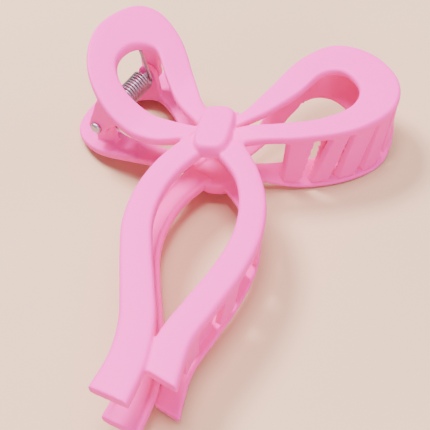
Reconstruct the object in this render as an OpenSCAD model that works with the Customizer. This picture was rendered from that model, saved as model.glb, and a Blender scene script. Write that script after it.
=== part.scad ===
// Bow-shaped claw hair clip: two moulded bow jaws, a steel hinge pin and a torsion spring.
// Millimetres, +Z up, resting on its rear jaw, Y along the hinge pin, +X towards the jaws.

/* [Jaw] */
// distance from the middle plane to the outer face of each bow
half_gap = 7.0; // [5:0.1:12]
// thickness of the moulded ribbons
ribbon_t = 2.2; // [1.6:0.1:4]
// thickness of the handle loops
handle_t = 2.6; // [1.8:0.1:4]
// thickness of the tails
tail_t = 2.7; // [1.6:0.1:4]
// how far the front side loop arches away from the middle plane
front_arch = 1.0; // [0:0.1:3]
// how far the rear side loop's toothed edge dips away from the middle plane
rear_arch = 4.6; // [0:0.1:6]
// thickness of the dished rear side loop
rear_side_t = 1.3; // [1.2:0.1:3]
// inset of the rear bow's toothed edges behind the front ones
rim_inset = 1.9; // [0:0.1:3]
// rounding of the ribbon's outer edges
edge_outer = 0.9; // [0.3:0.1:1.4]
// rounding of the ribbon's inner edges
edge_inner = 0.5; // [0.2:0.1:1.2]
// how far the long tail steps up and the short tail steps down at their ends
tail_step = 0.6; // [0:0.1:1.5]
// thickness of the rear short tail
rear_tail_t = 1.8; // [1.4:0.1:3]
// extra drop of the rear short tail at its end
rear_tail_drop = 3.4; // [0:0.1:5]

/* [Handle] */
// where the handle loops start to rise away from the middle plane
rise_from = -17; // [-24:0.5:-10]
// slope of the front handle loop, rise over run
front_slope = 0.45; // [0.1:0.01:0.9]
// slope of the rear handle loop
rear_slope = 0.2; // [0.1:0.01:0.9]
// softness of the bend into the handle slope
rise_blend = 4; // [1:0.5:10]
/* [Knot] */
// half width of the knot across the bow
knot_half_w = 4.7; // [3:0.1:7]
// how far the knot stands above the ribbons
knot_raise = 2.0; // [0.5:0.1:4]
// angle of the bow's centre line from the claw's own axis
bow_turn = 24.5; // [0:0.5:45]

/* [Loops] */
// how far the front handle loop's outer edge reaches from the knot
handle_reach = 44.5; // [40:0.5:48]
// how far the hole in the front handle loop reaches
handle_hole = 34; // [30:0.5:38]
// how far the rear handle loop's outer edge reaches
rear_handle_reach = 49.5; // [46:0.5:52]
// how far the side loops' outer edge reaches
side_reach = 45; // [42:0.5:48]
// how far the hole in the front side loop reaches
side_hole = 35.5; // [32:0.5:38]

/* [Tails] */
// width of the long tail along its run
long_w = 7.5; // [6:0.1:9]
// width of the short tail at its root
short_w = 6; // [5:0.1:7]
// how much each tail widens towards its end
tail_flare = 2; // [0:0.1:3]

/* [Teeth] */
// width of each side tooth's tip along the edge
side_tip_w = 5; // [3.5:0.1:5.5]
// distance between the side teeth's tips along the edge
side_pitch = 7.6; // [7:0.1:8]
// width of each tail tooth
tail_tooth_w = 5.8; // [4:0.1:6]
// thickness of each tooth
tooth_t = 1.9; // [1:0.1:3]
// inset of the rear teeth behind the front teeth
tooth_inset = 2.4; // [2:0.1:4]
// clearance between a tooth tip and the opposite bow
tooth_clear = 0.35; // [0.3:0.05:2]
/* [Hinge] */
// claw-axis position of the hinge pin
pin_x = -36; // [-42:0.5:-28]
// turn of the hinge pin away from the bend of the handles
pin_yaw = 6; // [-10:0.5:10]
// pin diameter
pin_d = 2.0; // [1.5:0.1:3]
// radial clearance of the running lugs on the pin
pin_clear = 0.05; // [0.02:0.01:0.1]
// outside radius of the hinge lugs
lug_r = 3.0; // [2.4:0.1:4.5]
// thickness of each hinge lug
lug_t = 2.0; // [1.2:0.1:3]
// near end of the lug stack along the pin
lug_near = -10.9; // [-14:0.1:-6]
// far end of the lug stack along the pin
lug_far = 18.6; // [12:0.1:24]
// clearance between neighbouring lugs
lug_gap = 0.3; // [0.1:0.05:1]
// pin head diameter
head_d = 3.3; // [2.5:0.1:5]

/* [Spring] */
// wire diameter
wire_d = 1.0; // [0.6:0.05:1.4]
// mean radius of the coil
coil_r = 2.7; // [1.7:0.05:3]
// number of close-wound turns
coil_turns = 17; // [6:1:20]
// distance between turns
coil_pitch = 1.03; // [0.8:0.01:1.5]

/* [Hidden] */
$fn = 48;
steps = 4;
ct = cos(bow_turn);
st = sin(bow_turn);
// point of the bow's own frame (u across, v along the centre line) in the claw's frame
function uv(u, v) = [u * ct - v * st, u * st + v * ct];
knot_top = 8.3;
knot_mid = 0.5;
notch = [8.2, -4.9];
crotch = [1.5, -8.6];
arm_split = 0.1;
rest_tip = -54.5;
rest_jaw = 33;

// height of the outer face over the middle plane, and its slope
function run(x) = max(0, rise_from - x);
$slope = front_slope;
function rise(x) = $slope * (sqrt(run(x) * run(x) + rise_blend * rise_blend) - rise_blend);
function slope(x) = $slope * run(x) / sqrt(run(x) * run(x) + rise_blend * rise_blend);
function outer_h(x) = half_gap + rise(x);
function drop(x) = sqrt(1 + slope(x) * slope(x));
function inner_h(x) = outer_h(x) - handle_t * drop(x);
inner0 = half_gap - ribbon_t;
rest_run = rise_from - rest_tip;
tip_h = half_gap + rear_slope * (sqrt(rest_run * rest_run + rise_blend * rise_blend) - rise_blend);
tilt = atan((tip_h - half_gap - rear_arch) / (rest_jaw - rest_tip));
row_dx = 8.45;
row_dy = 14.8;
row_dz = (half_gap + rear_arch) * cos(tilt) + rest_jaw * sin(tilt) + 0.05;

// smooth curve through a list of points, s runs from 0 to len - 1
function blend(a, b, c, d, t) =
    0.5 * (2 * b + (c - a) * t + (2 * a - 5 * b + 4 * c - d) * t * t + (3 * b - a - 3 * c + d) * t * t * t);
function along(P, s) =
    let(n = len(P) - 1, i = max(0, min(floor(s), n - 1)))
    blend(P[max(i - 1, 0)], P[i], P[i + 1], P[min(i + 2, n)], s - i);

// section of a ribbon of width w and thickness t: across, depth below the outer face
function section(w, t, r, q) = [
    [r, 0], [w - r, 0], [w - 0.29 * r, 0.29 * r], [w, r],
    [w, t - q], [w - 0.29 * q, t - 0.29 * q], [w - q, t],
    [q, t], [0.29 * q, t - 0.29 * q], [0, t - q],
    [0, r], [0.29 * r, 0.29 * r]];

// share of the arch at part k of the way round a ribbon
function ease(k) = k * k * (3 - 2 * k);
function arched(k) = ease(min(1, 4 * k)) * ease(min(1, 7 * (1 - k)));

// ribbon swept between two edge curves
module ribbon(A, B, t = ribbon_t, lift = 0, arch = 0) {
    n = (len(A) - 1) * steps;
    pts = [for (i = [0:n])
        let(s = i / steps, a = along(A, s), b = along(B, s), w = norm(b - a), e = (b - a) / w)
        for (q = section(w, t, edge_outer, edge_inner))
            let(p = a + e * q[0])
            [p[0], p[1], outer_h(p[0]) + lift * pow(i / n, 3) + arch * arched(i / n) - q[1] * drop(p[0])]];
    skin(pts, n, 12);
}

// closed skin over n + 1 sections of m points each
module skin(pts, n, m) {
    sides = [for (i = [0:n - 1]) for (j = [0:m - 1])
        let(k = (j + 1) % m)
        each [[i * m + j, i * m + k, (i + 1) * m + k], [i * m + j, (i + 1) * m + k, (i + 1) * m + j]]];
    first = [for (j = [0:m - 1]) m - 1 - j];
    last = [for (j = [0:m - 1]) n * m + j];
    polyhedron(points = pts, faces = concat(sides, [first, last]), convexity = 8);
}

// share of a lobe's widest half width at angle t, widest at share p of its reach
function swell(t, p) =
    let(m = (2 * p - 1) / (1 - p), f = function(a) 2 * pow(sin(a), m + 1) * abs(cos(a)))
    f(t / 2) / f(atan(sqrt(m + 1)));

// lobe-shaped edge from p0 out and back to p1: reach, direction, then half width and its place on each side
function lobe(p0, p1, reach, dir, w0, at0, w1, at1, n) = [
    for (i = [0:n])
        let(t = 360 * i / n, d = [cos(dir), sin(dir)], side = t < 180 ? w0 * swell(t, at0) : -w1 * swell(t, at1))
        p0 + (p1 - p0) * ease(i / n) + d * reach * (1 - cos(t)) / 2 + [-d[1], d[0]] * side];

// edges of the loops, from the knot outwards and back
side_n = 11;
split_up = knot_mid + arm_split;
split_down = knot_mid - arm_split;
handle_out = lobe(uv(-knot_half_w, knot_top), uv(-notch[0], notch[1]), handle_reach, 150.5, -7, 0.75, -17, 0.56, 10);
handle_in = lobe(
    uv(-knot_half_w, split_up), uv(-knot_half_w, split_down), handle_hole, 160, -5.5, 0.88, -9.5, 0.66, 10);
side_out = lobe(uv(knot_half_w, 5.6), uv(notch[0], notch[1]), side_reach, 61, 15, 0.75, 14, 0.68, side_n);
side_in = lobe(
    uv(knot_half_w, split_up), uv(knot_half_w, split_down), side_hole, 60, 7, 0.88, 9.5, 0.7, side_n);
rear_handle_out = lobe(
    uv(-knot_half_w, knot_top), uv(-notch[0], notch[1]), rear_handle_reach, 162, -13.5, 0.72, -17, 0.69, 11);
rear_handle_in = lobe(
    uv(-knot_half_w, split_up), uv(-knot_half_w, split_down), rear_handle_reach - 8, 166, -8, 0.8, -9, 0.66, 11);

// point and heading at distance d along a chain of arcs, each given by its length and turn
function arc_end(p, h, l, turn) = abs(turn) < 0.01 ? p + l * [cos(h), sin(h)] :
    p + l * 180 / (PI * turn) * [sin(h + turn) - sin(h), cos(h) - cos(h + turn)];
function trail(p, h, arcs, d, i = 0) =
    let(l = arcs[i][0], turn = arcs[i][1])
    i == len(arcs) - 1 || d <= l ? [arc_end(p, h, d, turn * d / l), h + turn * d / l] :
    trail(arc_end(p, h, l, turn), h + turn, arcs, d - l, i + 1);

// one edge of a tail: side is 1 for its left edge; the end is cut askew by skew
function tail_edge(corner, start, heading, arcs, w0, power, side, skew, n) =
    let(total = arcs[0][0] + arcs[1][0] + arcs[2][0])
    [corner, for (i = [1:n])
        let(q = trail(start, heading, arcs, total * i / n), w = w0 + tail_flare * pow(i / n, power), h = q[1])
        q[0] + side * (w / 2 * [-sin(h), cos(h)] + (i == n ? skew / 2 : 0) * [cos(h), sin(h)])];

function long_edge(corner, side) = tail_edge(
    corner, uv(-(notch[0] + crotch[0]) / 2, (notch[1] + crotch[1]) / 2), -103,
    [[35, 55], [18, 0], [23, -33]], long_w, 4, side, 0, 8);
function short_edge(corner, side) = tail_edge(
    corner, uv((notch[0] + crotch[0]) / 2, (notch[1] + crotch[1]) / 2), -22,
    [[38, -60], [16, -10], [17.5, 30]], short_w, 1, side, 4, 7);
long_out = long_edge(uv(-notch[0], notch[1]), -1);
long_in = long_edge(uv(-crotch[0], crotch[1]), 1);
short_out = short_edge(uv(notch[0], notch[1]), 1);
short_in = short_edge(uv(crotch[0], crotch[1]), -1);

// edge curve A pulled in towards curve B by k between points i0 and i1
function pulled(A, B, k, i0, i1) = [for (i = [0:len(A) - 1])
    A[i] + (i < i0 || i > i1 ? [0, 0] : (B[i] - A[i]) / norm(B[i] - A[i]) * k * (i == i0 ? 0.5 : 1))];
rear_side_plan = pulled(side_out, side_in, rim_inset, 6, 10);
rear_floor = half_gap + rear_arch;
rear_top = -half_gap + 3.3;
// dished rear side loop: depth of its hole's edge and of its outer edge below the middle plane
function hole_depth(s) = half_gap - 2.5 * pow(sin(180 * min(1, s / 8)), 2);
function rim_depth(s) =
    let(low = ease(max(0, min(1, (s - 4.4) / 2.8))), held = ease(min(1, s / 3)) * ease(min(1, (side_n - s) / 2)))
    half_gap + held * (rear_top + low * (rear_floor - rear_top) - half_gap);
rear_hole = lobe(
    uv(knot_half_w, split_up), uv(knot_half_w, split_down), side_hole - 0.5, 66, 8.5, 0.82, 11, 0.7, side_n);
rear_side_in = [for (i = [0:side_n]) concat(rear_hole[i], hole_depth(i))];
rear_side_out = [for (i = [0:side_n]) concat(rear_side_plan[i], rim_depth(i))];
rear_short_out = pulled(short_out, short_in, rim_inset, 1, 7);

module side_loop() {
    ribbon(side_in, side_out, arch = front_arch);
}

module side_loop_rear() {
    n = (len(side_out) - 1) * steps;
    pts = [for (i = [0:n])
        let(a = along(rear_side_in, i / steps), b = along(rear_side_out, i / steps), w = norm(b - a), e = (b - a) / w,
            f = [-e[0] * e[2], -e[1] * e[2], 1 - e[2] * e[2]], m = f / norm(f))
        for (q = section(w, rear_side_t, 0.6, edge_inner))
            a + e * q[0] - m * q[1]];
    skin(pts, n, 12);
}

// depth of the dished loop's inner face below the middle plane, at curve value s and inset k
function dish(s, k) =
    let(a = along(rear_side_in, s), b = along(rear_side_out, s), w = norm([a[0] - b[0], a[1] - b[1]]))
    b[2] + (a[2] - b[2]) * (k - rim_inset) / w - rear_side_t * norm(b - a) / w;

// base of the knot under the raised cap, cored out from the inner side
module knot() {
    base = [
        uv(-knot_half_w, knot_top), uv(-knot_half_w, knot_mid), uv(-notch[0], notch[1]), uv(-crotch[0], crotch[1]),
        uv(crotch[0], crotch[1]), uv(notch[0], notch[1]), uv(knot_half_w, knot_mid), uv(knot_half_w, knot_top)];
    difference() {
        union() {
            translate([0, 0, inner0]) linear_extrude(ribbon_t) polygon(base);
            hull() {
                translate([0, 0, inner0]) linear_extrude(ribbon_t + 0.6 * knot_raise) cap_outline(0);
                translate([0, 0, half_gap]) linear_extrude(knot_raise) cap_outline(1.1);
            }
        }
        rotate([0, 0, bow_turn]) translate([-2.4, -6.2, inner0 - 1]) cube([4.8, 9.2, ribbon_t + 1.4]);
    }
}

// rounded outline of the raised cap, pulled in by k
module cap_outline(k) {
    hull() {
        for (u = [-1, 1]) for (v = [-9.8 + 2.2, 7.0 - 2.2]) {
            p = uv(u * (knot_half_w - 2.2), v);
            translate(p) circle(r = 2.2 - k);
        }
    }
}

// one slanted tooth: a, b are curve values at its root and c, d at its tip; h0, h1 are the two heights
module tooth(A, B, t, inset0, inset1, h0, h1, bevel = 0) {
    pts = [for (i = [0:2])
        let(
            p = along(A, t[0] + (t[1] - t[0]) * i / 2), e = across(A, B, t[0] + (t[1] - t[0]) * i / 2),
            q = along(A, t[2] + (t[3] - t[2]) * i / 2), f = across(A, B, t[2] + (t[3] - t[2]) * i / 2))
        each [
            up(p + e * inset0, h0[0] + (h0[1] - h0[0]) * i / 2),
            up(p + e * (inset0 + tooth_t), h0[0] + (h0[1] - h0[0]) * i / 2),
            up(q + f * (inset1 + tooth_t), h1 + bevel), up(q + f * inset1, h1)]];
    skin(pts, 2, 4);
}

function up(p, h) = [p[0], p[1], h];

// unit direction from curve A towards curve B
function across(A, B, s) = (along(B, s) - along(A, s)) / norm(along(B, s) - along(A, s));

// inner-face height of an arched ribbon at curve value s
function under(A, s, arch) = inner0 + arch * arched(s / (len(A) - 1));

// curve value reached after d millimetres along P from the value s, in steps of ds
function value_at(P, d, s, ds) = d <= 0 || s + ds < 0 || s + ds > len(P) - 1 ? s :
    value_at(P, d - norm(along(P, s + ds) - along(P, s)), s + ds, ds);
function side_at(d) = value_at(side_out, d, side_n, -0.01);
function tail_at(d) = value_at(short_out, d, 0, 0.01);

// side teeth, in millimetres along the edge from the loop's root: tips at an even pitch, roots leaning on
side_tip = [for (i = [0:4]) 10.5 + side_pitch * i];
side_lean = [1.5, 5.5, 3.5, 3.5, 2.5];
side_root_w = [6.5, 4, 6.5, 5, 5];
// tail teeth, in millimetres along the edge from the tail's root
tail_tip = [16, 26, 46, 60];
tail_lean = [3, 2.5, -2, 0];

module side_teeth() {
    for (i = [0:4]) {
        r = side_tip[i] + side_lean[i];
        t = [side_at(r), side_at(r + side_root_w[i]), side_at(side_tip[i]), side_at(side_tip[i] + side_tip_w)];
        tooth(side_out, side_in, t, 0.2, rim_inset, [under(side_out, t[0], front_arch), under(side_out, t[1], front_arch)],
            tooth_clear - min(dish(t[2], rim_inset), dish(t[3], rim_inset)), 1.1);
    }
}

module tail_teeth() {
    for (i = [0:3]) {
        r = tail_tip[i] + tail_lean[i];
        t = [tail_at(r + tail_tooth_w), tail_at(r), tail_at(tail_tip[i] + tail_tooth_w), tail_at(tail_tip[i])];
        tooth(short_out, short_in, t, 0.2, rim_inset, [tail_h(t[0], -tail_step), tail_h(t[1], -tail_step)],
            tooth_clear + rear_tail_t - half_gap);
    }
}

function tail_h(s, lift, t = tail_t) = half_gap - t + lift * pow(s / (len(short_out) - 1), 3);

// rear teeth sit behind the slots between the front ones, further in
module side_teeth_rear() {
    for (i = [1:3]) {
        a = (side_tip[i] + side_tip_w + side_tip[i + 1]) / 2;
        b = (side_tip[i] + side_lean[i] + side_root_w[i] + side_tip[i + 1] + side_lean[i + 1]) / 2;
        t = [side_at(a - 2.7), side_at(a + 2.7), side_at(b - 2.7), side_at(b + 2.7)];
        k = rim_inset + 0.3 + tooth_inset;
        tooth(side_out, side_in, t, k, k, [dish(t[0], k + tooth_t) + 0.2, dish(t[1], k + tooth_t) + 0.2],
            tooth_clear - under(side_out, 9.6, front_arch));
    }
}

module tail_teeth_rear() {
    for (i = [0:2]) {
        a = (tail_tip[i] + tail_tooth_w + tail_tip[i + 1]) / 2;
        b = a + (tail_lean[i] + tail_lean[i + 1]) / 2;
        k = i == 0 ? 2.3 : 4;
        t = [tail_at(a + k), tail_at(a - k), tail_at(b + k), tail_at(b - k)];
        tooth(short_out, short_in, t, rim_inset + 0.3 + tooth_inset, tooth_inset,
            [tail_h(t[0], rear_tail_drop, rear_tail_t), tail_h(t[1], rear_tail_drop, rear_tail_t)],
            tooth_clear + tail_step + tail_t - half_gap);
    }
}

// hinge lug: plate with a true bore, from the handle's inner face to the pin; x0, x1 are from the pin's axis
module lug(y0, x0, x1, bore) {
    back = (y0 + lug_t / 2) * sin(pin_yaw);
    translate([0, y0 + lug_t, 0]) rotate([90, 0, 0]) difference() {
        union() {
            cylinder(r = lug_r, h = lug_t);
            linear_extrude(lug_t) polygon([
                [-lug_r, 0], [0, -lug_r * 0.98], [lug_r, 0],
                for (x = [x1, (x0 + x1) / 2, x0]) [x, inner_h(pin_x + x - back) + 0.25]]);
        }
        translate([0, 0, -1]) cylinder(r = bore, h = lug_t + 2);
    }
}

// hinge pieces are drawn with the pin's axis along Y through the origin
module on_hinge() {
    translate([pin_x, 0, 0]) rotate([0, 0, pin_yaw]) children();
}

lug_in_near = lug_near + lug_t + lug_gap;
lug_in_far = lug_far - 2 * lug_t - lug_gap;
coil_y = lug_in_near + lug_t + 0.3 + wire_d;
coil_len = coil_turns * coil_pitch;
arm_y = coil_y + coil_len + wire_d / 2 + 0.05;

module lugs_front() {
    on_hinge() {
        lug(lug_near, 2.5, 12, pin_d / 2 + pin_clear);
        lug(lug_far - lug_t, -3, 3.5, pin_d / 2 + pin_clear);
    }
}

module lugs_rear() {
    on_hinge() {
        lug(lug_in_near, -3.6, 3.4, pin_d / 2 - 0.01);
        lug(lug_in_far, -3.4, 3.4, pin_d / 2 - 0.01);
    }
}

module pin() {
    on_hinge() translate([0, lug_far + 0.2, 0]) rotate([90, 0, 0]) {
        cylinder(d = pin_d, h = lug_far - lug_near + 0.4);
        translate([0, 0, lug_far - lug_near + 0.4]) cylinder(d1 = head_d, d2 = head_d - 0.8, h = 1.0);
        translate([0, 0, -0.7]) cylinder(d1 = pin_d + 0.2, d2 = pin_d + 1, h = 0.7);
    }
}

module coil() {
    on_hinge() translate([0, coil_y + coil_len, 0]) rotate([90, 0, 0]) rotate_extrude() {
        for (i = [0:coil_turns - 1]) translate([coil_r, (i + 0.5) * coil_pitch]) circle(d = wire_d);
        translate([coil_r - 0.25, 0.5 * coil_pitch]) square([0.5, coil_len - coil_pitch]);
    }
}

// straight wire from one point to another
module wire(a, b) {
    d = b - a;
    translate(a) rotate([0, acos(d[2] / norm(d)), atan2(d[1], d[0])]) cylinder(d = wire_d, h = norm(d));
}

// spring arm from the coil up to the handle's inner face, at position y along the pin
module arm(y, x, gap) {
    on_hinge() wire([coil_r, y, 0], [x, y, inner_h(pin_x + x - y * sin(pin_yaw)) - wire_d / 2 - gap]);
}

// resting pose of the whole clip on the table
module pose() {
    translate([row_dx, row_dy, row_dz]) rotate([0, tilt, 0]) children();
}

module front(c = [0.98, 0.62, 0.80]) {
    color(c) pose() children();
}

module rear(c = [0.93, 0.52, 0.72]) {
    $slope = rear_slope;
    color(c) pose() mirror([0, 0, 1]) children();
}

module front_handle_loop() { front() ribbon(handle_out, handle_in, handle_t); }
module front_side_loop() { front() side_loop(); }
module front_long_tail() { front() ribbon(long_out, long_in, tail_t, tail_step); }
module front_short_tail() { front() ribbon(short_in, short_out, tail_t, -tail_step); }
module front_knot() { front() knot(); }
module front_side_teeth() { front() side_teeth(); }
module front_tail_teeth() { front() tail_teeth(); }
module front_hinge_lugs() { front() lugs_front(); }
module rear_handle_loop() { rear() ribbon(rear_handle_out, rear_handle_in, handle_t); }
module rear_side_loop() { rear() side_loop_rear(); }
module rear_long_tail() { rear() ribbon(long_out, long_in, tail_t, tail_step); }
module rear_short_tail() { rear() ribbon(short_in, rear_short_out, rear_tail_t, rear_tail_drop); }
module rear_knot() { rear() knot(); }
module rear_side_teeth() { rear() side_teeth_rear(); }
module rear_tail_teeth() { rear() tail_teeth_rear(); }
module rear_hinge_lugs() { rear() lugs_rear(); }
module hinge_pin() { color([0.75, 0.72, 0.76]) pose() pin(); }
module spring_coil() { color([0.7, 0.66, 0.72]) pose() coil(); }
module spring_front_arm() { color([0.7, 0.66, 0.72]) pose() arm(arm_y, 1.0, 0.12); }
module spring_rear_arm() {
    $slope = rear_slope;
    color([0.7, 0.66, 0.72]) pose() mirror([0, 0, 1]) arm(coil_y - wire_d / 2, -1.2, 0.12);
}

front_handle_loop();
front_side_loop();
front_long_tail();
front_short_tail();
front_knot();
front_side_teeth();
front_tail_teeth();
front_hinge_lugs();
rear_handle_loop();
rear_side_loop();
rear_long_tail();
rear_short_tail();
rear_knot();
rear_side_teeth();
rear_tail_teeth();
rear_hinge_lugs();
hinge_pin();
spring_coil();
spring_front_arm();
spring_rear_arm();
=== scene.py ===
import bpy, bmesh, math
import numpy as np
from mathutils import Matrix, Vector


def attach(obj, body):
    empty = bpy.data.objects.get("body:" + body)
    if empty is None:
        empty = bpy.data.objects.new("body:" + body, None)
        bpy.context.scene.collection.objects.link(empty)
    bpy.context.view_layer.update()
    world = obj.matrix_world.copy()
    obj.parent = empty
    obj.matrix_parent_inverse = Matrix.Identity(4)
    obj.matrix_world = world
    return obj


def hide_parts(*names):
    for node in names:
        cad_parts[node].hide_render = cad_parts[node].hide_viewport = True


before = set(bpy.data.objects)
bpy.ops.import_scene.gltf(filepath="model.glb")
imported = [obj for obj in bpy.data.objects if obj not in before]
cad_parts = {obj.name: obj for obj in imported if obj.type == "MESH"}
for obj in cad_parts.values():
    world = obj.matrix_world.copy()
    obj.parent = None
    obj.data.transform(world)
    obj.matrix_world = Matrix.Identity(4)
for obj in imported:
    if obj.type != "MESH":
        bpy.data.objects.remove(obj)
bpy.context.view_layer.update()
scene = bpy.context.scene
MM = 0.001

# ---------------------------------------------------------------- the clip's own numbers, millimetres
HALF_GAP, RIBBON_T, HANDLE_T, TAIL_T = 7.0, 2.2, 2.6, 2.7
FRONT_ARCH, REAR_ARCH, RIM_INSET, REAR_SIDE_T = 1.0, 4.6, 1.9, 1.3
TAIL_STEP, REAR_TAIL_DROP, REAR_TAIL_T = 0.6, 3.4, 1.8
RISE_FROM, RISE_BLEND = -17.0, 4.0
SLOPE = {1: 0.45, -1: 0.2}
KNOT_W, KNOT_RAISE, KNOT_TOP, KNOT_MID, SPLIT = 4.7, 2.0, 8.3, 0.5, 0.1
TURN = math.radians(24.5)
NOTCH, CROTCH = (8.2, -4.9), (1.5, -8.6)
TOOTH_T, TOOTH_INSET, TOOTH_CLEAR = 1.9, 2.4, 0.35
PIN_X, PIN_YAW, PIN_D = -36.0, math.radians(6.0), 2.0
LUG_R, LUG_T, LUG_NEAR, LUG_FAR, LUG_GAP = 3.0, 2.0, -10.9, 18.6, 0.3
WIRE_D, COIL_R, TURNS, PITCH = 1.0, 2.7, 17, 1.03
REST_TIP, REST_JAW = -54.5, 33.0
HANDLE_REACH, HANDLE_HOLE, REAR_HANDLE_REACH, SIDE_REACH, SIDE_HOLE = 44.5, 34.0, 49.5, 45.0, 35.5
LONG_W, SHORT_W, TAIL_FLARE = 7.5, 6.0, 2.0
SIDE_TIP_W, SIDE_PITCH, TAIL_TOOTH_W = 5.0, 7.6, 5.8
REACH_IN = 1.2           # how far a ribbon's end runs on into the knot
CROWN = 0.16             # rise of a ribbon's outer face at its middle
RIM_W = 1.1              # rim beside the rear long tail's groove
REAR_TOOTH_HALF = 2.7    # half width of a rear side tooth
FLOOR_HALF = 1.5         # metres
LENS_PX, FRAME_PX, SENSOR = 790, 430, 36.0
ROW = np.array([8.45, 14.8])
INNER0 = HALF_GAP - RIBBON_T

run0 = RISE_FROM - REST_TIP
tip_h = HALF_GAP + SLOPE[-1] * (math.hypot(run0, RISE_BLEND) - RISE_BLEND)
TILT = math.atan((tip_h - HALF_GAP - REAR_ARCH) / (REST_JAW - REST_TIP))
ROW_Z = (HALF_GAP + REAR_ARCH) * math.cos(TILT) + REST_JAW * math.sin(TILT) + 0.05


def to_row(P):
    """Claw frame in millimetres to the row frame in metres."""
    P = np.asarray(P, float)
    c, s = math.cos(TILT), math.sin(TILT)
    return np.stack([P[..., 0] * c + P[..., 2] * s + ROW[0], P[..., 1] + ROW[1],
                     -P[..., 0] * s + P[..., 2] * c + ROW_Z], -1) * MM


def uv(u, v):
    return (u * math.cos(TURN) - v * math.sin(TURN), u * math.sin(TURN) + v * math.cos(TURN))


def run(x):
    return np.maximum(0.0, RISE_FROM - np.asarray(x, float))


def outer_h(x, side):
    return HALF_GAP + SLOPE[side] * (np.sqrt(run(x) ** 2 + RISE_BLEND ** 2) - RISE_BLEND)


def drop(x, side):
    r = run(x)
    return np.sqrt(1 + (SLOPE[side] * r / np.sqrt(r * r + RISE_BLEND ** 2)) ** 2)


def along(P, s):
    """Smooth curve through the points P at the values s."""
    P = np.asarray(P, float)
    s = np.atleast_1d(np.asarray(s, float))
    n = len(P) - 1
    i = np.clip(np.floor(s).astype(int), 0, n - 1)
    t = (s - i)[:, None]
    a, b, c, d = P[np.maximum(i - 1, 0)], P[i], P[i + 1], P[np.minimum(i + 2, n)]
    return 0.5 * (2 * b + (c - a) * t + (2 * a - 5 * b + 4 * c - d) * t * t + (3 * b - a - 3 * c + d) * t ** 3)


def ease(k):
    return k * k * (3 - 2 * k)


def swell(t, p):
    """Share of a lobe's widest half width at angle t, widest at share p of its reach."""
    m = (2 * p - 1) / (1 - p)
    peak = math.atan(math.sqrt(m + 1))
    return (math.sin(t / 2) ** (m + 1) * abs(math.cos(t / 2))) / (math.sin(peak) ** (m + 1) * math.cos(peak))


def lobe(p0, p1, reach, heading, w0, at0, w1, at1, n):
    """Lobe-shaped edge from p0 out and back to p1."""
    p0, p1 = np.array(p0), np.array(p1)
    h = math.radians(heading)
    d, left = np.array([math.cos(h), math.sin(h)]), np.array([-math.sin(h), math.cos(h)])
    out = []
    for i in range(n + 1):
        t = 2 * math.pi * i / n
        side = w0 * swell(t, at0) if t < math.pi else -w1 * swell(t, at1)
        out.append(p0 + (p1 - p0) * ease(i / n) + d * reach * (1 - math.cos(t)) / 2 + left * side)
    return out


def arc_end(p, h, length, turn):
    if abs(turn) < 1e-4:
        return p + length * np.array([math.cos(h), math.sin(h)])
    return p + length / turn * np.array([math.sin(h + turn) - math.sin(h), math.cos(h) - math.cos(h + turn)])


def trail(p, h, arcs, d):
    """Point and heading at distance d along a chain of arcs, each a length and a turn in degrees."""
    for i, (length, turn) in enumerate(arcs):
        turn = math.radians(turn)
        if i == len(arcs) - 1 or d <= length:
            return arc_end(p, h, d, turn * d / length), h + turn * d / length
        p, h, d = arc_end(p, h, length, turn), h + turn, d - length


def tail_edge(corner, start, heading, arcs, w0, power, side, skew, n):
    total = sum(a[0] for a in arcs)
    out = [np.array(corner)]
    for i in range(1, n + 1):
        q, h = trail(np.array(start), math.radians(heading), arcs, total * i / n)
        w = w0 + TAIL_FLARE * (i / n) ** power
        out.append(q + side * (w / 2 * np.array([-math.sin(h), math.cos(h)])
                               + (skew / 2 if i == n else 0) * np.array([math.cos(h), math.sin(h)])))
    return out


def long_edge(corner, side):
    start = uv(-(NOTCH[0] + CROTCH[0]) / 2, (NOTCH[1] + CROTCH[1]) / 2)
    return tail_edge(corner, start, -103, [(35, 55), (18, 0), (23, -33)], LONG_W, 4, side, 0, 8)


def short_edge(corner, side):
    start = uv((NOTCH[0] + CROTCH[0]) / 2, (NOTCH[1] + CROTCH[1]) / 2)
    return tail_edge(corner, start, -22, [(38, -60), (16, -10), (17.5, 30)], SHORT_W, 1, side, 4, 7)


SIDE_N = 11
UP, DOWN = KNOT_MID + SPLIT, KNOT_MID - SPLIT
HANDLE_OUT = lobe(uv(-KNOT_W, KNOT_TOP), uv(-NOTCH[0], NOTCH[1]), HANDLE_REACH, 150.5, -7, 0.75, -17,
                  0.56, 10)
HANDLE_IN = lobe(uv(-KNOT_W, UP), uv(-KNOT_W, DOWN), HANDLE_HOLE, 160, -5.5, 0.88, -9.5, 0.66, 10)
SIDE_OUT = lobe(uv(KNOT_W, 5.6), uv(NOTCH[0], NOTCH[1]), SIDE_REACH, 61, 15, 0.75, 14, 0.68, SIDE_N)
SIDE_IN = lobe(uv(KNOT_W, UP), uv(KNOT_W, DOWN), SIDE_HOLE, 60, 7, 0.88, 9.5, 0.7, SIDE_N)
REAR_HANDLE_OUT = lobe(uv(-KNOT_W, KNOT_TOP), uv(-NOTCH[0], NOTCH[1]), REAR_HANDLE_REACH, 162,
                       -13.5, 0.72, -17, 0.69, 11)
REAR_HANDLE_IN = lobe(uv(-KNOT_W, UP), uv(-KNOT_W, DOWN), REAR_HANDLE_REACH - 8, 166, -8, 0.8, -9, 0.66, 11)
LONG_OUT, LONG_IN = long_edge(uv(-NOTCH[0], NOTCH[1]), -1), long_edge(uv(-CROTCH[0], CROTCH[1]), 1)
SHORT_OUT, SHORT_IN = short_edge(uv(NOTCH[0], NOTCH[1]), 1), short_edge(uv(CROTCH[0], CROTCH[1]), -1)


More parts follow.
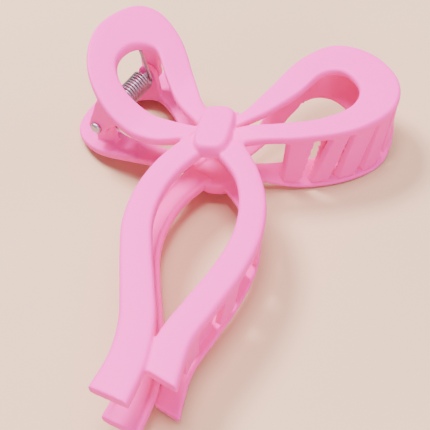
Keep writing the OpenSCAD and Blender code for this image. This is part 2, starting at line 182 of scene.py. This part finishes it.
def pulled(A, B, k, i0, i1):
    A, B = np.asarray(A, float), np.asarray(B, float)
    out = A.copy()
    for i in range(i0, i1 + 1):
        d = B[i] - A[i]
        out[i] += d / np.hypot(*d) * k * (0.5 if i == i0 else 1.0)
    return out


REAR_SIDE_PLAN = pulled(SIDE_OUT, SIDE_IN, RIM_INSET, 6, 10)
FLOOR_H, TOP_H = HALF_GAP + REAR_ARCH, 3.3 - HALF_GAP
REAR_HOLE = lobe(uv(KNOT_W, UP), uv(KNOT_W, DOWN), SIDE_HOLE - 0.5, 66, 8.5, 0.82, 11, 0.7, SIDE_N)


def hole_depth(s):
    return HALF_GAP - 2.5 * math.sin(math.pi * min(1, s / 8)) ** 2


def rim_depth(s):
    low = ease(max(0, min(1, (s - 4.4) / 2.8)))
    held = ease(min(1, s / 3)) * ease(min(1, (SIDE_N - s) / 2))
    return HALF_GAP + held * (TOP_H + low * (FLOOR_H - TOP_H) - HALF_GAP)


REAR_SIDE_IN = np.array([(*p, hole_depth(i)) for i, p in enumerate(REAR_HOLE)])
REAR_SIDE_OUT = np.array([(*p, rim_depth(i)) for i, p in enumerate(REAR_SIDE_PLAN)])
REAR_SHORT_OUT = pulled(SHORT_OUT, SHORT_IN, RIM_INSET, 1, 7)


def arched(k):
    k = np.asarray(k, float)
    return ease(np.minimum(1, 4 * k)) * ease(np.minimum(1, 7 * (1 - k)))


def arc(cx, cz, r, a0, a1, n):
    return [(cx + r * math.cos(math.radians(a0 + (a1 - a0) * i / n)),
             cz - r * math.sin(math.radians(a0 + (a1 - a0) * i / n))) for i in range(n + 1)]


def section(w, t, r, q, groove):
    """Across and depth below the outer face, round corners; groove sinks the inner face between thin rims."""
    pts = arc(w - r, r, r, 90, 0, 5) + arc(w - q, t - q, q, 0, -90, 4)
    if groove is not None:
        m, foot = RIM_W, RIM_W + 0.5
        pts += [(w - m, t), (w - foot, t - groove), (w / 2, t - groove), (foot, t - groove), (m, t)]
    else:
        pts += [(w * 0.75, t), (w / 2, t), (w * 0.25, t)]
    pts += arc(q, t - q, q, -90, -180, 4) + arc(r, r, r, 180, 90, 5)
    out = []
    for a, d in pts:
        k = min(1.0, max(0.0, a / w))
        out.append((a, d - CROWN * math.sin(math.pi * k) * (1 if d < t * 0.5 else 0)))
    return out + [(w * k, -CROWN * math.sin(math.pi * k)) for k in (0.3, 0.5, 0.7)]


class Solid:
    """Closed shells gathered in the claw frame."""

    def __init__(self):
        self.v, self.f = [], []

    def skin(self, rows):
        base, n, m = len(self.v), len(rows), len(rows[0])
        for r in rows:
            self.v.extend(map(tuple, r))
        for i in range(n - 1):
            for j in range(m):
                k = (j + 1) % m
                a, b = base + i * m, base + (i + 1) * m
                self.f.append((a + j, a + k, b + k, b + j))
        self.f.append(tuple(base + j for j in reversed(range(m))))
        self.f.append(tuple(base + (n - 1) * m + j for j in range(m)))

    def ribbon(self, A, B, side, t, lift=0.0, arch=0.0, groove=0.0, steps=14, start=0.0, end=0.0,
               r=1.0, q=0.6):
        n = (len(A) - 1) * steps
        S = np.arange(n + 1) / steps
        a, b = along(A, S), along(B, S)
        if start:
            d = (a[0] + b[0] - a[1] - b[1]) / 2
            d = d / np.hypot(*d) * start
            a[0] += d
            b[0] += d
        if end:
            d = (a[-1] + b[-1] - a[-2] - b[-2]) / 2
            d = d / np.hypot(*d) * end
            a[-1] += d
            b[-1] += d
        rows = []
        for i in range(n + 1):
            w = np.hypot(*(b[i] - a[i]))
            e = (b[i] - a[i]) / w
            k = i / n
            g = groove * min(1, 6 * k) * min(1, 6 * (1 - k))
            row = []
            for s, dpt in section(w, t, r, q, g if groove else None):
                p = a[i] + e * s
                h = outer_h(p[0], side) + lift * k ** 3 + arch * arched(k) - dpt * drop(p[0], side)
                row.append((p[0], p[1], side * h))
            rows.append(row)
        self.skin(rows)

    def dished(self, A, B, side, t, steps=14, start=REACH_IN, end=REACH_IN):
        n = (len(A) - 1) * steps
        S = np.arange(n + 1) / steps
        a, b = along(A, S), along(B, S)
        for j, o, far in ((0, 1, start), (-1, -2, end)):
            d = (a[j] + b[j] - a[o] - b[o]) / 2
            d = d / np.linalg.norm(d) * far
            a[j] += d
            b[j] += d
        rows = []
        for p, q in zip(a, b):
            w = np.linalg.norm(q - p)
            e = (q - p) / w
            m = np.array([-e[0] * e[2], -e[1] * e[2], 1 - e[2] ** 2])
            m /= np.linalg.norm(m)
            rows.append([(v[0], v[1], side * v[2]) for v in
                         (p + e * s - m * d for s, d in section(w, t, 0.6, 0.5, None))])
        self.skin(rows)

    def tooth(self, A, B, t, in0, in1, h0, h1, side, bevel=0.0):
        rows = []
        for i in range(7):
            k = i / 6
            s0, s1 = t[0] + (t[1] - t[0]) * k, t[2] + (t[3] - t[2]) * k
            p, q = along(A, s0)[0], along(A, s1)[0]
            e = along(B, s0)[0] - p
            g = along(B, s1)[0] - q
            e, g = e / np.hypot(*e), g / np.hypot(*g)
            ha = h0[0] + (h0[1] - h0[0]) * k + 0.6
            rows.append([(*(p + e * in0), side * ha), (*(p + e * (in0 + TOOTH_T)), side * ha),
                         (*(q + g * (in1 + TOOTH_T)), side * (h1 + bevel)), (*(q + g * in1), side * h1)])
        self.skin(rows)

    def prism(self, poly, z0, z1):
        self.skin([[(x, y, z0) for x, y in poly], [(x, y, z1) for x, y in poly]])


def along1(A, s):
    return along(A, s)[0]


def under(s, arch, n):
    return INNER0 + arch * float(arched(s / n))


def dish(s, k):
    a, b = along1(REAR_SIDE_IN, s), along1(REAR_SIDE_OUT, s)
    w = np.hypot(*(a - b)[:2])
    return b[2] + (a[2] - b[2]) * (k - RIM_INSET) / w - REAR_SIDE_T * np.linalg.norm(b - a) / w


def tail_h(s, lift, t=TAIL_T):
    return HALF_GAP - t + lift * (s / (len(SHORT_OUT) - 1)) ** 3


def value_at(P, d, s, ds):
    """Curve value reached after d millimetres along P from the value s, in steps of ds."""
    while d > 0 and 0 <= s + ds <= len(P) - 1:
        d -= np.linalg.norm(along1(P, s + ds) - along1(P, s))
        s += ds
    return s


def side_at(d):
    return value_at(SIDE_OUT, d, SIDE_N, -0.01)


def tail_at(d):
    return value_at(SHORT_OUT, d, 0, 0.01)


# teeth, in millimetres along the edge from the root of the loop or tail
SIDE_TIP = [10.5 + SIDE_PITCH * i for i in range(5)]
SIDE_LEAN, SIDE_ROOT_W = (1.5, 5.5, 3.5, 3.5, 2.5), (6.5, 4, 6.5, 5, 5)
TAIL_TIP, TAIL_LEAN = (16, 26, 46, 60), (3, 2.5, -2, 0)
SIDE_TEETH = [(side_at(a + b), side_at(a + b + w), side_at(a), side_at(a + SIDE_TIP_W))
              for a, b, w in zip(SIDE_TIP, SIDE_LEAN, SIDE_ROOT_W)]
TAIL_TEETH = [(tail_at(a + b + TAIL_TOOTH_W), tail_at(a + b), tail_at(a + TAIL_TOOTH_W), tail_at(a))
              for a, b in zip(TAIL_TIP, TAIL_LEAN)]

def superellipse(hw, hl, n=40, p=3.6):
    out = []
    for i in range(n):
        a = 2 * math.pi * i / n
        c, s = math.cos(a), math.sin(a)
        k = (abs(c) ** p + abs(s) ** p) ** (-1 / p)
        out.append((hw * c * k, hl * s * k))
    return out


def knot(solid, side):
    core = [uv(-KNOT_W, KNOT_TOP), uv(-KNOT_W - 0.6, KNOT_MID),
            uv(-NOTCH[0] - 0.2, NOTCH[1]), uv(-CROTCH[0], CROTCH[1] - 0.5),
            uv(CROTCH[0], CROTCH[1] - 0.5), uv(NOTCH[0] + 0.2, NOTCH[1]),
            uv(KNOT_W + 0.6, KNOT_MID), uv(KNOT_W, KNOT_TOP - 1.5)]
    solid.prism(core, side * (INNER0 + 0.1), side * (HALF_GAP - 0.25))
    rows = []
    cv = -1.4
    for k in range(9):
        a = math.radians(90 * k / 8)
        z = HALF_GAP - 1.5 + (KNOT_RAISE + 1.5) * math.sin(a) ** 0.9 if k else INNER0 + 0.3
        sh = 1.25 * (1 - math.cos(a)) ** 1.2
        rows.append([(*uv(x, y + cv), side * z) for x, y in superellipse(KNOT_W + 0.15 - sh, 8.45 - sh)])
    solid.skin(rows)


def lug(solid, side, y0, x0, x1):
    back = (y0 + LUG_T / 2) * math.sin(PIN_YAW)

    def ih(x):
        gx = PIN_X + x - back
        return float(outer_h(gx, side) - HANDLE_T * drop(gx, side)) + 0.7
    ring = [(LUG_R * math.cos(a), LUG_R * math.sin(a)) for a in np.radians(np.arange(180, 361, 10))]
    poly = ring + [(x1, ih(x1)), ((x0 + x1) / 2, ih((x0 + x1) / 2)), (x0, ih(x0))]
    rows = []
    for y in (y0, y0 + LUG_T):
        rows.append([hinge(x, y, side * z) for x, z in poly])
    solid.skin(rows)


def hinge(x, y, z):
    c, s = math.cos(PIN_YAW), math.sin(PIN_YAW)
    return (PIN_X + x * c - y * s, x * s + y * c, z)


IN_NEAR = LUG_NEAR + LUG_T + LUG_GAP
IN_FAR = LUG_FAR - 2 * LUG_T - LUG_GAP
COIL_Y = IN_NEAR + LUG_T + 0.3 + WIRE_D
COIL_LEN = TURNS * PITCH
ARM_Y = COIL_Y + COIL_LEN + WIRE_D / 2 + 0.05


def make(name, solid, body, material, nodes, voxel=None, smooth=0):
    me = bpy.data.meshes.new(name)
    me.from_pydata([tuple(p) for p in to_row(solid.v)], [], solid.f)
    bm = bmesh.new()
    bm.from_mesh(me)
    bmesh.ops.recalc_face_normals(bm, faces=bm.faces)
    bm.to_mesh(me)
    bm.free()
    ob = bpy.data.objects.new(name, me)
    scene.collection.objects.link(ob)
    if voxel:
        m = ob.modifiers.new("fuse", "REMESH")
        m.mode, m.voxel_size, m.use_smooth_shade = "VOXEL", voxel, True
        if smooth:
            m = ob.modifiers.new("soften", "SMOOTH")
            m.factor, m.iterations = 0.5, smooth
        dg = bpy.context.evaluated_depsgraph_get()
        new = bpy.data.meshes.new_from_object(ob.evaluated_get(dg))
        ob.modifiers.clear()
        ob.data = new
    ob.data.name = name
    for p in ob.data.polygons:
        p.use_smooth = True
    ob.data.materials.clear()
    ob.data.materials.append(material)
    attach(ob, body)
    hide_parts(*nodes)


# ---------------------------------------------------------------- materials
def nodes_of(name):
    m = bpy.data.materials.new(name)
    m.use_nodes = True
    nt = m.node_tree
    bs = nt.nodes["Principled BSDF"]
    tc = nt.nodes.new("ShaderNodeTexCoord")
    return m, nt, bs, tc


def noise(nt, tc, scale, detail=3.0, rough=0.55):
    n = nt.nodes.new("ShaderNodeTexNoise")
    n.inputs["Scale"].default_value = scale
    n.inputs["Detail"].default_value = detail
    n.inputs["Roughness"].default_value = rough
    nt.links.new(tc.outputs["Object"], n.inputs["Vector"])
    return n


def ramp(nt, src, a, b, p0=0.35, p1=0.65):
    r = nt.nodes.new("ShaderNodeValToRGB")
    r.color_ramp.elements[0].position, r.color_ramp.elements[1].position = p0, p1
    r.color_ramp.elements[0].color = (*a, 1)
    r.color_ramp.elements[1].color = (*b, 1)
    nt.links.new(src, r.inputs["Fac"])
    return r


def bump(nt, src, strength, distance, bs):
    b = nt.nodes.new("ShaderNodeBump")
    b.inputs["Strength"].default_value = strength
    b.inputs["Distance"].default_value = distance
    nt.links.new(src, b.inputs["Height"])
    nt.links.new(b.outputs["Normal"], bs.inputs["Normal"])


def pink(name, a, b):
    m, nt, bs, tc = nodes_of(name)
    big = noise(nt, tc, 45.0, 2.0)
    nt.links.new(ramp(nt, big.outputs["Fac"], a, b).outputs["Color"], bs.inputs["Base Color"])
    fine = noise(nt, tc, 2600.0, 2.0)
    bump(nt, fine.outputs["Fac"], 0.12, 0.00006, bs)
    rr = ramp(nt, big.outputs["Fac"], (0.52,) * 3, (0.6,) * 3)
    nt.links.new(rr.outputs["Color"], bs.inputs["Roughness"])
    bs.inputs["Specular IOR Level"].default_value = 0.2
    bs.inputs["Subsurface Weight"].default_value = 0.25
    bs.inputs["Subsurface Radius"].default_value = (1.0, 0.45, 0.6)
    bs.inputs["Subsurface Scale"].default_value = 0.0012
    return m


PINK = pink("pink_soft_touch", (1.0, 0.045, 0.50), (1.0, 0.052, 0.52))


def steel(name, a, b, rough):
    m, nt, bs, tc = nodes_of(name)
    n = noise(nt, tc, 900.0, 4.0)
    nt.links.new(ramp(nt, n.outputs["Fac"], a, b).outputs["Color"], bs.inputs["Base Color"])
    bs.inputs["Metallic"].default_value = 1.0
    bs.inputs["Roughness"].default_value = rough
    bump(nt, n.outputs["Fac"], 0.1, 0.00005, bs)
    return m


STEEL = steel("spring_steel", (0.34, 0.27, 0.34), (0.44, 0.36, 0.44), 0.36)
PINSTEEL = steel("pin_steel", (0.42, 0.36, 0.44), (0.52, 0.46, 0.54), 0.42)

# ---------------------------------------------------------------- front jaw
VOX = 0.00028
f = Solid()
f.ribbon(HANDLE_OUT, HANDLE_IN, 1, HANDLE_T, start=REACH_IN, end=REACH_IN)
f.ribbon(SIDE_IN, SIDE_OUT, 1, RIBBON_T, arch=FRONT_ARCH, start=REACH_IN, end=REACH_IN)
f.ribbon(LONG_OUT, LONG_IN, 1, TAIL_T, TAIL_STEP, start=REACH_IN)
f.ribbon(SHORT_IN, SHORT_OUT, 1, TAIL_T, -TAIL_STEP, start=REACH_IN)
knot(f, 1)
for t in SIDE_TEETH:
    f.tooth(SIDE_OUT, SIDE_IN, t, 0.2, RIM_INSET, (under(t[0], FRONT_ARCH, SIDE_N), under(t[1],
                                                                                          FRONT_ARCH, SIDE_N)),
            TOOTH_CLEAR - min(dish(t[2], RIM_INSET), dish(t[3], RIM_INSET)), 1, 1.1)
for t in TAIL_TEETH:
    f.tooth(SHORT_OUT, SHORT_IN, t, 0.2, RIM_INSET, (tail_h(t[0], -TAIL_STEP), tail_h(t[1], -TAIL_STEP)),
            TOOTH_CLEAR + REAR_TAIL_T - HALF_GAP, 1)
lug(f, 1, LUG_NEAR, 2.5, 12)
lug(f, 1, LUG_FAR - LUG_T, -3.0, 3.5)
make("front_bow_jaw", f, "front_jaw", PINK,
             ["front_handle_loop", "front_side_loop", "front_long_tail", "front_short_tail", "front_knot",
              "front_side_teeth", "front_tail_teeth", "front_hinge_lugs"], VOX, 4)

# ---------------------------------------------------------------- rear jaw
g = Solid()
g.ribbon(REAR_HANDLE_OUT, REAR_HANDLE_IN, -1, HANDLE_T, start=REACH_IN, end=REACH_IN)
g.dished(REAR_SIDE_IN, REAR_SIDE_OUT, -1, REAR_SIDE_T)
g.ribbon(LONG_OUT, LONG_IN, -1, TAIL_T, TAIL_STEP, start=REACH_IN, groove=0.9)
g.ribbon(SHORT_IN, REAR_SHORT_OUT, -1, REAR_TAIL_T, REAR_TAIL_DROP, start=REACH_IN, q=0.5)
knot(g, -1)
for i in range(1, 4):
    a = (SIDE_TIP[i] + SIDE_TIP_W + SIDE_TIP[i + 1]) / 2
    b = (SIDE_TIP[i] + SIDE_LEAN[i] + SIDE_ROOT_W[i] + SIDE_TIP[i + 1] + SIDE_LEAN[i + 1]) / 2
    t = [side_at(d + h) for d in (a, b) for h in (-REAR_TOOTH_HALF, REAR_TOOTH_HALF)]
    k = RIM_INSET + 0.3 + TOOTH_INSET
    g.tooth(SIDE_OUT, SIDE_IN, t, k, k, (dish(t[0], k + TOOTH_T) + 0.2, dish(t[1], k + TOOTH_T) + 0.2),
            TOOTH_CLEAR - under(9.6, FRONT_ARCH, SIDE_N), -1)
for i in range(3):
    a = (TAIL_TIP[i] + TAIL_TOOTH_W + TAIL_TIP[i + 1]) / 2
    b = a + (TAIL_LEAN[i] + TAIL_LEAN[i + 1]) / 2
    k = 2.3 if i == 0 else 4
    t = (tail_at(a + k), tail_at(a - k), tail_at(b + k), tail_at(b - k))
    g.tooth(SHORT_OUT, SHORT_IN, t, RIM_INSET + 0.3 + TOOTH_INSET, TOOTH_INSET,
            (tail_h(t[0], REAR_TAIL_DROP, REAR_TAIL_T), tail_h(t[1], REAR_TAIL_DROP, REAR_TAIL_T)),
            TOOTH_CLEAR + TAIL_STEP + TAIL_T - HALF_GAP, -1)
lug(g, -1, IN_NEAR, -3.6, 3.4)
lug(g, -1, IN_FAR, -3.4, 3.4)
make("rear_bow_jaw", g, "rear_jaw", PINK,
            ["rear_handle_loop", "rear_side_loop", "rear_long_tail", "rear_short_tail", "rear_knot",
             "rear_side_teeth", "rear_tail_teeth", "rear_hinge_lugs"], VOX, 4)


# ---------------------------------------------------------------- pin and spring
def lathe(solid, profile, n=40):
    rows = []
    for y, r in profile:
        rows.append([hinge(r * math.cos(a), y, r * math.sin(a))
                     for a in np.linspace(0, 2 * math.pi, n, endpoint=False)])
    solid.skin(rows)


def tube(solid, path, r, n=14):
    P = np.asarray(path, float)
    T = np.gradient(P, axis=0)
    T /= np.linalg.norm(T, axis=1)[:, None]
    up = np.array([0.0, 1.0, 0.0])
    rows = []
    nrm = np.cross(T[0], up)
    if np.linalg.norm(nrm) < 1e-3:
        nrm = np.cross(T[0], (1.0, 0, 0))
    for p, t in zip(P, T):
        nrm = nrm - t * (nrm @ t)
        nrm /= np.linalg.norm(nrm)
        b = np.cross(t, nrm)
        rows.append([hinge(*(p + r * (math.cos(a) * nrm + math.sin(a) * b)))
                     for a in np.linspace(0, 2 * math.pi, n, endpoint=False)])
    solid.skin(rows)


p = Solid()
y0, y1 = LUG_NEAR - 0.2, LUG_FAR + 0.2
lathe(p, [(y0 - 1.0, 0.05), (y0 - 0.98, 0.8), (y0 - 0.85, 1.25), (y0 - 0.6, 1.5), (y0 - 0.25, 1.63),
          (y0, 1.65),
          (y0 + 0.001, PIN_D / 2), (y1, PIN_D / 2), (y1 + 0.001, 1.4), (y1 + 0.35, 1.45),
          (y1 + 0.6, 1.2), (y1 + 0.7, 0.7), (y1 + 0.72, 0.05)])
make("hinge_pin_visual", p, "rear_jaw", PINSTEEL, ["hinge_pin"])


def inner_at(x, y, side):
    gx = PIN_X + x - y * math.sin(PIN_YAW)
    return float(outer_h(gx, side) - HANDLE_T * drop(gx, side))


c = Solid()
R = WIRE_D / 2
ya, yb = COIL_Y, COIL_Y + COIL_LEN
steps = 26 * TURNS
path = [(-1.2, ya - R, -(inner_at(-1.2, ya - R, -1) - R - 0.12))]
path += [(-1.2 + (COIL_R + 1.2) * k, ya - R, path[0][2] * (1 - k)) for k in (0.25, 0.5, 0.75, 0.95)]
for i in range(steps + 1):
    a = 2 * math.pi * TURNS * i / steps
    path.append((COIL_R * math.cos(a), ya + (yb - ya) * i / steps, COIL_R * math.sin(a)))
tube(c, path, R * 0.96)
make("torsion_spring", c, "rear_jaw", STEEL, ["spring_coil", "spring_rear_arm"])

a_ = Solid()
top = inner_at(1.0, ARM_Y, 1) - R - 0.12
tube(a_, [(COIL_R - (COIL_R - 1.0) * k, ARM_Y, top * k) for k in np.linspace(0, 1, 9)], R * 0.96)
make("spring_arm_front", a_, "front_jaw", STEEL, ["spring_front_arm"])

# ---------------------------------------------------------------- floor
me = bpy.data.meshes.new("table_top")
me.from_pydata([(x * FLOOR_HALF, y * FLOOR_HALF, 0) for x, y in ((-1, -1), (1, -1), (1, 1), (-1, 1))],
               [], [(0, 1, 2, 3)])
floor = bpy.data.objects.new("table_top", me)
scene.collection.objects.link(floor)
m, nt, bs, tc = nodes_of("table_paper")
n1 = noise(nt, tc, 7.0, 2.0)
paper = ramp(nt, n1.outputs["Fac"], (0.62, 0.41, 0.275), (0.68, 0.45, 0.30))
nt.links.new(paper.outputs["Color"], bs.inputs["Base Color"])
n2 = noise(nt, tc, 1500.0, 3.0)
bump(nt, n2.outputs["Fac"], 0.15, 0.0001, bs)
bs.inputs["Roughness"].default_value = 0.85
bs.inputs["Specular IOR Level"].default_value = 0.2
floor.data.materials.append(m)

# ---------------------------------------------------------------- camera and light
cam = bpy.data.objects.new("camera", bpy.data.cameras.new("camera"))
scene.collection.objects.link(cam)
C, T = (Vector(to_row(p)) for p in ((104.9, -115.4, 142.8), (-5.7, 0.1, -30.6)))
fw = (T - C).normalized()
up = Vector(to_row((0.139, 0, 0.99)) - to_row((0, 0, 0)))
rt = fw.cross(up).normalized()
upv = rt.cross(fw)
cam.matrix_world = Matrix((
    (rt.x, upv.x, -fw.x, C.x), (rt.y, upv.y, -fw.y, C.y), (rt.z, upv.z, -fw.z, C.z), (0, 0, 0, 1)))
cam.data.sensor_width = SENSOR
cam.data.lens = SENSOR * LENS_PX / FRAME_PX
cam.data.clip_start, cam.data.clip_end = 0.01, 10
scene.camera = cam


def area(name, loc, target, size, power, color):
    d = bpy.data.lights.new(name, "AREA")
    d.shape, d.size, d.energy, d.color = "DISK", size, power, color
    o = bpy.data.objects.new(name, d)
    o.location = loc
    o.rotation_euler = (Vector(target) - Vector(loc)).to_track_quat("-Z", "Y").to_euler()
    scene.collection.objects.link(o)


area("key", (-0.42, 0.12, 0.75), (0, 0, 0), 0.30, 17.0, (1.0, 0.97, 0.97))
area("top", (0.08, 0.05, 0.85), (0, 0, 0), 0.35, 9.0, (1.0, 0.97, 0.98))
area("fill", (0.55, 0.35, 0.7), (0, 0, 0), 0.8, 4.0, (1.0, 0.97, 0.97))
area("front", (0.45, -0.35, 0.22), (0.02, 0.02, 0.01), 0.4, 2.2, (1.0, 0.96, 0.98))
w = bpy.data.worlds.new("studio")
w.use_nodes = True
w.node_tree.nodes["Background"].inputs["Color"].default_value = (1.0, 0.97, 0.95, 1)
w.node_tree.nodes["Background"].inputs["Strength"].default_value = 0.36
scene.world = w
